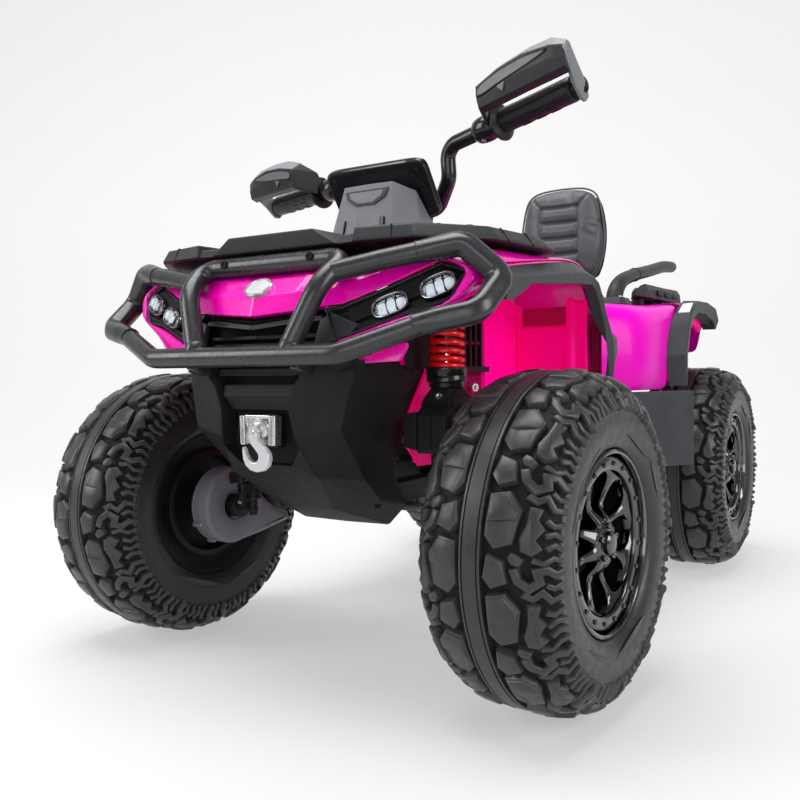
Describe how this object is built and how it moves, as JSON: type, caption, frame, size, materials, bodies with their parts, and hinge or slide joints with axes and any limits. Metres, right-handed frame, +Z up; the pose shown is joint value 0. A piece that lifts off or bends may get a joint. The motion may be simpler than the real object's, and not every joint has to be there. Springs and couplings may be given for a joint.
{
  "type": "kids quad bike",
  "caption": "Ride-on electric quad bike for a child, with bumper, racks, magenta fenders, steered and sprung front wheels, hand guards and a padded backrest.",
  "frame": {"origin": "on the ground under the middle of the overall box", "axes": "+Z up, the bike faces -Y, +X is the rider's left"},
  "size_m": [0.7514, 1.1795, 0.7516],
  "materials": {
    "frame_steel": "satin black powder coat",
    "black_plastic": "fine-grained black moulding",
    "magenta_body": "high-gloss magenta moulding",
    "grey_plastic": "grained dark grey moulding",
    "display_black": "gloss black",
    "lamp_lens": "clear lens",
    "tail_lens": "red lens",
    "silver_metal": "silver",
    "bar_black": "gloss black",
    "grip_rubber": "ribbed black rubber",
    "spring_red": "gloss red coat",
    "motor_grey": "grey gear case",
    "tyre_black": "black foam tyre",
    "rim_black_chrome": "black chrome",
    "seat_leather": "black leather look"
  },
  "bodies": {
    "chassis": {"chassis_frame": "frame_steel", "bumper_centre": "frame_steel", "bumper_side_left": "frame_steel", "bumper_side_right": "frame_steel", "rear_axle": "frame_steel", "front_fascia": "black_plastic", "grille_insert": "black_plastic", "headlight_housings": "black_plastic", "centre_body": "black_plastic", "rear_panel": "black_plastic", "backrest_shell": "black_plastic", "control_box": "black_plastic", "battery": "black_plastic", "hood_panel": "magenta_body", "front_fender_left": "magenta_body", "front_fender_right": "magenta_body", "rear_fender_left": "magenta_body", "rear_fender_right": "magenta_body", "front_rack": "grey_plastic", "fender_trims": "grey_plastic", "rear_trims": "grey_plastic", "dash_cowl": "grey_plastic", "footrests": "grey_plastic", "rear_rack": "grey_plastic", "rear_handles": "grey_plastic", "dash_display": "display_black", "headlamp_lenses": "lamp_lens", "tail_lights": "tail_lens", "winch_fairlead": "silver_metal", "winch_hook": "silver_metal", "strut_bodies": "bar_black", "strut_spring_left": "spring_red", "strut_spring_right": "spring_red", "gearmotors_rear": "motor_grey", "seat_cushion": "seat_leather", "backrest_pad": "seat_leather"},
    "steering": {"steering_column": "frame_steel", "handlebar_tube": "bar_black", "handlebar_grips": "grip_rubber", "handguard_left": "bar_black", "handguard_right": "bar_black"},
    "link": {"steering_link": "frame_steel"},
    "strut_left": {"strut_carrier_left": "frame_steel"},
    "strut_right": {"strut_carrier_right": "frame_steel"},
    "knuckle_left": {"knuckle_left": "frame_steel", "gearmotor_front_left": "motor_grey"},
    "knuckle_right": {"knuckle_right": "frame_steel", "gearmotor_front_right": "motor_grey"},
    "wheel_front_left": {"tyre_front_left": "tyre_black", "rim_front_left": "rim_black_chrome"},
    "wheel_front_right": {"tyre_front_right": "tyre_black", "rim_front_right": "rim_black_chrome"},
    "wheel_rear_left": {"tyre_rear_left": "tyre_black", "rim_rear_left": "rim_black_chrome"},
    "wheel_rear_right": {"tyre_rear_right": "tyre_black", "rim_rear_right": "rim_black_chrome"},
    "pedal": {"accelerator_pedal": "black_plastic"},
    "power_button": {"power_button": "black_plastic"},
    "direction_rocker": {"direction_rocker": "black_plastic"}
  },
  "joints": [
    {"name": "steer", "type": "hinge", "parent": "chassis", "child": "steering", "pos_m": [0, -0.20875, 0.617], "axis": [0, 0.342, 0.9397], "range_deg": [-20, 45]},
    {"name": "link_slide", "type": "slide", "parent": "chassis", "child": "link", "axis": [1, 0, 0], "range_m": [-0.0172, 0.0078]},
    {"name": "strut_left_slide", "type": "slide", "parent": "chassis", "child": "strut_left", "axis": [0, 0, 1], "range_m": [0, 0.016], "stiffness_N_per_m": 9000, "springref_m": -0.022, "deforming": ["strut_spring_left"]},
    {"name": "knuckle_left_turn", "type": "hinge", "parent": "strut_left", "child": "knuckle_left", "pos_m": [0.15, -0.38875, 0.185], "axis": [0, 0, 1], "range_deg": [-7.4, 16.4]},
    {"name": "wheel_front_left_spin", "type": "hinge", "parent": "knuckle_left", "child": "wheel_front_left", "pos_m": [0.29272, -0.39773, 0.185], "axis": [0.998, -0.0628, 0], "continuous": true},
    {"name": "wheel_rear_left_spin", "type": "hinge", "parent": "chassis", "child": "wheel_rear_left", "pos_m": [0.254, 0.40625, 0.185], "axis": [1, 0, 0], "continuous": true},
    {"name": "strut_right_slide", "type": "slide", "parent": "chassis", "child": "strut_right", "axis": [0, 0, 1], "range_m": [0, 0.016], "stiffness_N_per_m": 9000, "springref_m": -0.022, "deforming": ["strut_spring_right"]},
    {"name": "knuckle_right_turn", "type": "hinge", "parent": "strut_right", "child": "knuckle_right", "pos_m": [-0.15, -0.38875, 0.185], "axis": [0, 0, 1], "range_deg": [-7.4, 16.4]},
    {"name": "wheel_front_right_spin", "type": "hinge", "parent": "knuckle_right", "child": "wheel_front_right", "pos_m": [-0.29272, -0.37977, 0.185], "axis": [0.998, -0.0628, 0], "continuous": true},
    {"name": "wheel_rear_right_spin", "type": "hinge", "parent": "chassis", "child": "wheel_rear_right", "pos_m": [-0.254, 0.40625, 0.185], "axis": [1, 0, 0], "continuous": true},
    {"name": "pedal_press", "type": "hinge", "parent": "chassis", "child": "pedal", "pos_m": [-0.15, -0.01675, 0.235], "axis": [1, 0, 0], "range_deg": [0, 12], "stiffness_Nm_per_rad": 1.2, "springref_deg": -8.59},
    {"name": "power_button_press", "type": "slide", "parent": "chassis", "child": "power_button", "axis": [0, -0.2961, -0.9552], "range_m": [0, 0.003], "stiffness_N_per_m": 400, "springref_m": -0.001},
    {"name": "direction_rocker_tilt", "type": "hinge", "parent": "chassis", "child": "direction_rocker", "pos_m": [-0.04, -0.18375, 0.53337], "axis": [1, 0, 0], "range_deg": [-8, 8]}
  ],
  "couplings": [
    {"joint": "knuckle_left_turn", "follows": "steer", "ratio": 0.36},
    {"joint": "knuckle_right_turn", "follows": "steer", "ratio": 0.36},
    {"joint": "link_slide", "follows": "steer", "m_per_rad": -0.0216}
  ]
}
